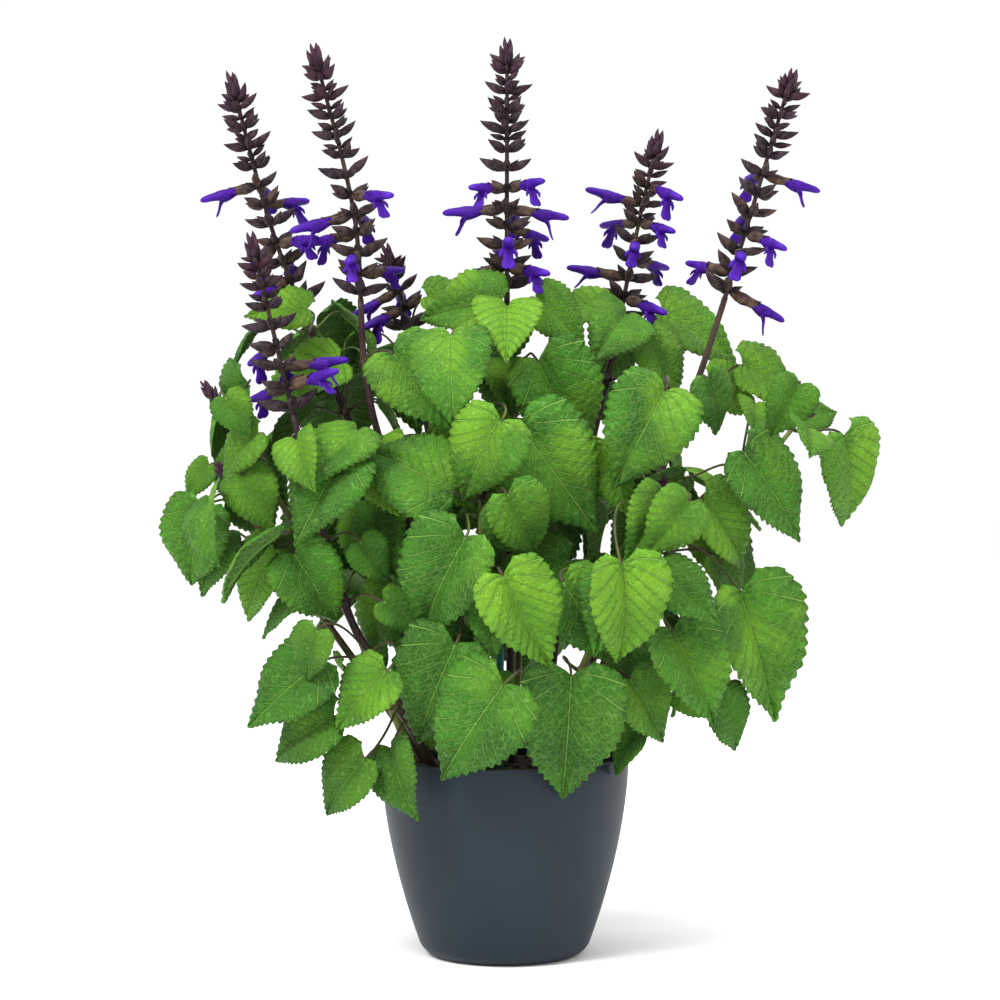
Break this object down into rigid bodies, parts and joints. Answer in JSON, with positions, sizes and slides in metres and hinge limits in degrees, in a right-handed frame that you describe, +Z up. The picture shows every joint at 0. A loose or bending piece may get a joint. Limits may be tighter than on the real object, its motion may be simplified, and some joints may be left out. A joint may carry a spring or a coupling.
{
  "type": "potted sage",
  "caption": "Flowering sage in a round tapered plastic pot: square stems with paired heart-shaped leaves and upright spikes of dark calyces and violet flowers.",
  "frame": {"origin": "middle of the pot's flat foot, on the surface that it stands on", "axes": "+Z up along the pot and the plant, -Y towards the side seen first, +X to its right"},
  "size_m": [0.6158, 0.4029, 0.763],
  "materials": {
    "pot": "matt slate grey with a fine even grain",
    "soil": "dark loose potting mix",
    "stake": "dark green coated stick",
    "stems": "dark purple brown square stem",
    "shoots": "young stem, green brown, with green leaves at its top",
    "leaves": "soft matt green with sunken veins, paler underneath",
    "flowers": "near-black purple calyces and velvety violet petals"
  },
  "bodies": {
    "root": {"leaves_a1": "leaves", "leaves_a2": "leaves", "leaves_a3": "leaves", "leaves_b1": "leaves", "leaves_b2": "leaves", "leaves_b3": "leaves", "leaves_b4": "leaves", "leaves_b5": "leaves", "leaves_c1": "leaves", "leaves_c2": "leaves", "leaves_c3": "leaves", "leaves_d1": "leaves", "leaves_d2": "leaves", "leaves_d3": "leaves", "leaves_d4": "leaves", "leaves_e1": "leaves", "leaves_e2": "leaves", "leaves_e3": "leaves", "leaves_f1": "leaves", "leaves_f2": "leaves", "leaves_f3": "leaves", "leaves_g1": "leaves", "leaves_g2": "leaves", "leaves_h1": "leaves", "leaves_h2": "leaves", "leaves_h3": "leaves", "leaves_k1": "leaves", "leaves_l1": "leaves", "leaves_m1": "leaves", "leaves_m2": "leaves", "leaves_n1": "leaves", "leaves_n2": "leaves", "leaves_p1": "leaves", "leaves_q1": "leaves", "leaves_r1": "leaves", "pot": "pot", "shoot_h": "shoots", "shoot_k": "shoots", "shoot_l": "shoots", "shoot_m": "shoots", "shoot_n": "shoots", "shoot_p": "shoots", "shoot_q": "shoots", "shoot_r": "shoots", "soil": "soil", "spike_a": "flowers", "spike_b": "flowers", "spike_c": "flowers", "spike_d": "flowers", "spike_e": "flowers", "spike_f": "flowers", "spike_g": "flowers", "stake": "stake", "stem_a": "stems", "stem_b": "stems", "stem_c": "stems", "stem_d": "stems", "stem_e": "stems", "stem_f": "stems", "stem_g": "stems"}
  },
  "joints": []
}
